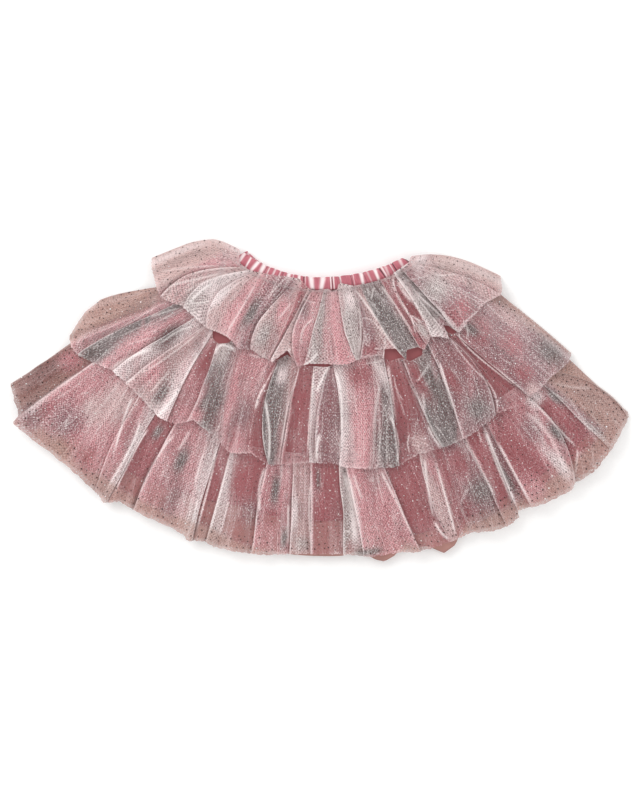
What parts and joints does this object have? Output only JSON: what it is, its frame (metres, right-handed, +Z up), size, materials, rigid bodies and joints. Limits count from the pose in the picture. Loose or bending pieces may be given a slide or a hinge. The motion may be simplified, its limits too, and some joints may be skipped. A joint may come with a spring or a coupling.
{
  "type": "tulle skirt",
  "caption": "Small child's tiered glitter-tulle skirt laid flat, with a gathered satin elastic waistband and a slip under the tulle.",
  "frame": {"origin": "centre of the garment's box on the surface that it lies on", "axes": "+Z up from the surface, through the front of the skirt; +Y towards the waistband; +X to the right of someone who looks down at the front"},
  "size_m": [0.652, 0.3348, 0.0238],
  "materials": {
    "waistband_satin": "dusty rose polyester satin, gathered over elastic, soft gloss",
    "slip_lining": "coral woven lining, satin weave, low gloss",
    "glitter_tulle": "see-through nylon net, tie-dyed pink, grey and white, with small glitter dots"
  },
  "bodies": {
    "root": {"waistband_front": "waistband_satin", "waistband_back": "waistband_satin", "slip_front": "slip_lining", "slip_back": "slip_lining", "tier_1_front": "glitter_tulle", "tier_1_back": "glitter_tulle", "tier_2_front": "glitter_tulle", "tier_2_back": "glitter_tulle", "tier_3_front": "glitter_tulle", "tier_3_back": "glitter_tulle"}
  },
  "joints": []
}
